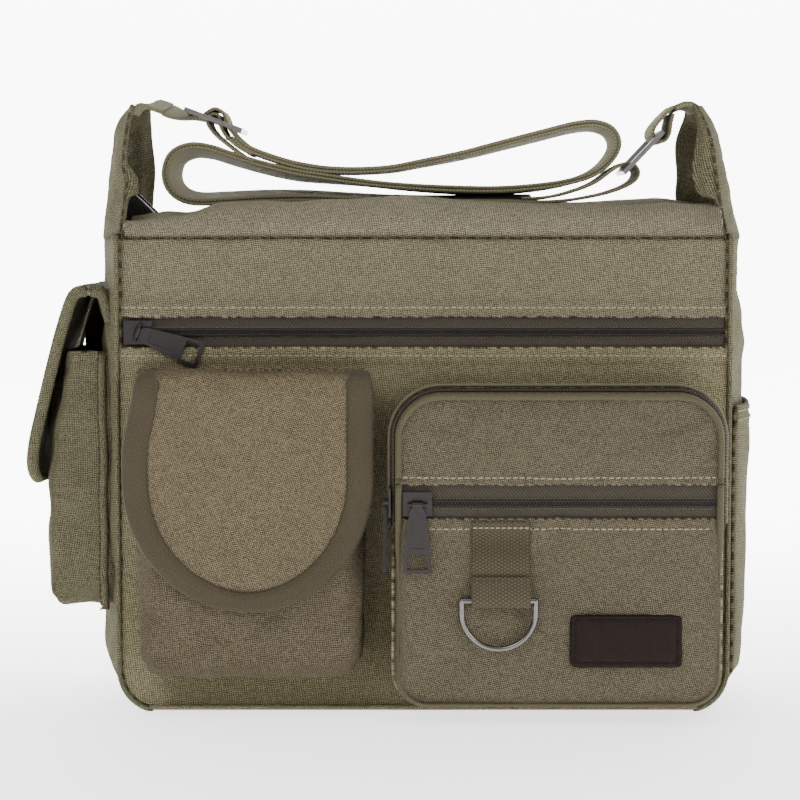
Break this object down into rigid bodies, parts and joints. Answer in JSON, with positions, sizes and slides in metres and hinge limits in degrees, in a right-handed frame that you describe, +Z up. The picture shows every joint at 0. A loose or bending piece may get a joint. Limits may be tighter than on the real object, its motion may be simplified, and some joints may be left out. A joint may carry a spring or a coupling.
{
  "type": "messenger bag",
  "caption": "Canvas messenger bag with a zipped mouth, front and rear zip pockets, flap pocket, zipped organiser pocket, end pouch, D-ring and folded webbing shoulder strap.",
  "frame": {"origin": "centre of the base on the surface that the bag stands on", "axes": "+X along the width from the pouch end to the slip-pocket end, -Y out of the front face with the pockets, +Z up"},
  "size_m": [0.3643, 0.1647, 0.3028],
  "materials": {
    "canvas": "washed heavy cotton canvas, salt-and-pepper twill",
    "webbing": "cotton webbing and twill tape, matt",
    "zip_tape": "woven polyester zip tape",
    "zip_coil": "nylon zip coil",
    "gunmetal": "gunmetal plated zinc, satin",
    "nickel": "black nickel plated steel wire",
    "lining": "plain polyester lining",
    "board": "polyethylene stiffening board",
    "touch_tape": "hook tape",
    "leather": "dark brown leather, fine grain"
  },
  "bodies": {
    "bag": {"base_panel": "canvas", "base_board": "board", "front_panel_upper": "canvas", "front_panel_lower": "canvas", "back_panel": "canvas", "gusset_left": "canvas", "gusset_right": "canvas", "horn_left": "canvas", "horn_right": "canvas", "lining": "lining", "inner_pocket": "lining", "main_zip_ends": "zip_tape", "front_zip_tapes": "zip_tape", "front_zip_coil": "zip_coil", "front_pocket_bag": "lining", "rear_zip_tapes": "zip_tape", "rear_zip_coil": "zip_coil", "rear_pocket_bag": "lining", "phone_pocket": "canvas", "phone_flap_seam": "canvas", "phone_touch_tape": "touch_tape", "organiser_body": "canvas", "organiser_face": "canvas", "organiser_divider": "lining", "organiser_piping": "webbing", "organiser_zip_rear": "zip_tape", "face_zip_tapes": "zip_tape", "face_zip_coil": "zip_coil", "d_ring_tab": "webbing", "leather_patch": "leather", "side_pouch": "canvas", "slip_pocket": "canvas", "strap_anchor": "webbing", "ring_tab_anchor": "webbing"},
    "mouth_front": {"top_band_front": "canvas", "main_zip_front": "zip_tape"},
    "mouth_rear": {"top_band_rear": "canvas", "main_zip_rear": "zip_tape"},
    "main_slider": {"main_zip_slider": "gunmetal"},
    "main_puller": {"main_zip_puller": "gunmetal"},
    "front_slider": {"front_zip_slider": "gunmetal"},
    "front_puller": {"front_zip_puller": "gunmetal"},
    "rear_slider": {"rear_zip_slider": "gunmetal"},
    "rear_puller": {"rear_zip_puller": "gunmetal"},
    "face_slider": {"face_zip_slider": "gunmetal"},
    "face_puller": {"face_zip_puller": "gunmetal"},
    "organiser_slider": {"organiser_zip_slider": "gunmetal"},
    "organiser_puller": {"organiser_zip_puller": "gunmetal"},
    "lid": {"organiser_lid": "canvas", "organiser_lid_piping": "webbing", "organiser_lid_zip": "zip_tape"},
    "flap_top": {"phone_flap_top": "canvas"},
    "flap_front": {"phone_flap_front": "canvas", "phone_flap_binding": "webbing"},
    "pouch_flap": {"pouch_flap": "canvas"},
    "ring": {"d_ring": "nickel"},
    "strap": {"shoulder_strap": "webbing", "tri_glide": "nickel", "end_ring": "nickel", "ring_tab": "webbing"}
  },
  "joints": [
    {"name": "mouth_front_fold", "type": "hinge", "parent": "bag", "child": "mouth_front", "pos_m": [0, -0.0485, 0.2374], "axis": [-1, 0, 0], "range_deg": [0, 90]},
    {"name": "mouth_rear_fold", "type": "hinge", "parent": "bag", "child": "mouth_rear", "pos_m": [0, 0.0485, 0.2374], "axis": [1, 0, 0], "range_deg": [0, 90]},
    {"name": "main_zip_slide", "type": "slide", "parent": "bag", "child": "main_slider", "axis": [1, 0, 0], "range_m": [-0.238, 0]},
    {"name": "main_puller_lift", "type": "hinge", "parent": "main_slider", "child": "main_puller", "pos_m": [0.143, 0, 0.2455], "axis": [0, 1, 0], "range_deg": [0, 95]},
    {"name": "front_zip_slide", "type": "slide", "parent": "bag", "child": "front_slider", "axis": [1, 0, 0], "range_m": [0, 0.27]},
    {"name": "front_puller_lift", "type": "hinge", "parent": "front_slider", "child": "front_puller", "pos_m": [-0.14, -0.0592, 0.188], "axis": [-0.342, 0, -0.9397], "range_deg": [0, 155]},
    {"name": "rear_zip_slide", "type": "slide", "parent": "bag", "child": "rear_slider", "axis": [-1, 0, 0], "range_m": [0, 0.184]},
    {"name": "rear_puller_lift", "type": "hinge", "parent": "rear_slider", "child": "rear_puller", "pos_m": [0.092, 0.0592, 0.19], "axis": [1, 0, 0], "range_deg": [0, 150]},
    {"name": "face_zip_slide", "type": "slide", "parent": "bag", "child": "face_slider", "axis": [1, 0, 0], "range_m": [0, 0.132]},
    {"name": "face_puller_lift", "type": "hinge", "parent": "face_slider", "child": "face_puller", "pos_m": [-0.0032, -0.0997, 0.108], "axis": [-1, 0, 0], "range_deg": [0, 150]},
    {"name": "organiser_zip_slide", "type": "slide", "parent": "bag", "child": "organiser_slider", "axis": [0, 0, 1], "range_m": [0, 0.024]},
    {"name": "organiser_puller_lift", "type": "hinge", "parent": "organiser_slider", "child": "organiser_puller", "pos_m": [-0.0188, -0.088, 0.108], "axis": [0, 1, 0], "range_deg": [0, 16]},
    {"name": "organiser_lid_fold", "type": "hinge", "parent": "bag", "child": "lid", "pos_m": [0.0645, -0.097, 0.119], "axis": [-1, 0, 0], "range_deg": [-75, 0]},
    {"name": "phone_flap_lift", "type": "hinge", "parent": "bag", "child": "flap_top", "pos_m": [-0.0845, -0.0644, 0.1695], "axis": [-1, 0, 0], "range_deg": [0, 88]},
    {"name": "phone_flap_fold", "type": "hinge", "parent": "flap_top", "child": "flap_front", "pos_m": [-0.0845, -0.0895, 0.1668], "axis": [-1, 0, 0], "range_deg": [0, 85]},
    {"name": "pouch_flap_lift", "type": "hinge", "parent": "bag", "child": "pouch_flap", "pos_m": [-0.1637, 0, 0.209], "axis": [0, 1, 0], "range_deg": [0, 88]},
    {"name": "d_ring_swing", "type": "hinge", "parent": "bag", "child": "ring", "pos_m": [0.0355, -0.1006, 0.062], "axis": [-1, 0, 0], "range_deg": [0, 140]},
    {"name": "strap_swing", "type": "hinge", "parent": "bag", "child": "strap", "pos_m": [0, 0, 0.3], "axis": [1, 0, 0], "range_deg": [-110, 110]}
  ]
}
